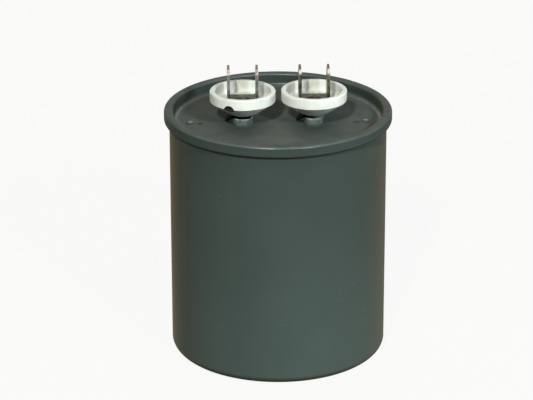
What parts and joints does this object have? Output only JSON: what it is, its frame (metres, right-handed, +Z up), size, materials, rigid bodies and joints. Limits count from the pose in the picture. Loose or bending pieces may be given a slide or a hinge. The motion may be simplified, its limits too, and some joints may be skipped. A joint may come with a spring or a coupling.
{
  "type": "round oil-filled capacitor",
  "caption": "Round sealed steel can capacitor with a sunken double-seamed cover and porcelain cup terminals holding upright push-on tabs.",
  "frame": {"origin": "centre of the can's flat bottom face", "axes": "+Z up the can's axis towards the terminals, +X along the row of terminals towards the right one, -Y towards the front, where the row of terminals lies nearer the rim"},
  "size_m": [0.0666, 0.0666, 0.0881],
  "materials": {
    "grey_green_paint": "satin enamel",
    "black_rubber": "matt",
    "white_porcelain": "gloss glaze",
    "tinned_brass": "dull tin plate, browned"
  },
  "bodies": {
    "root": {"can": "grey_green_paint", "cover": "grey_green_paint", "left_gasket": "black_rubber", "right_gasket": "black_rubber", "left_bushing": "white_porcelain", "right_bushing": "white_porcelain", "left_terminal": "tinned_brass", "right_terminal": "tinned_brass", "left_rivet": "tinned_brass", "right_rivet": "tinned_brass"}
  },
  "joints": []
}
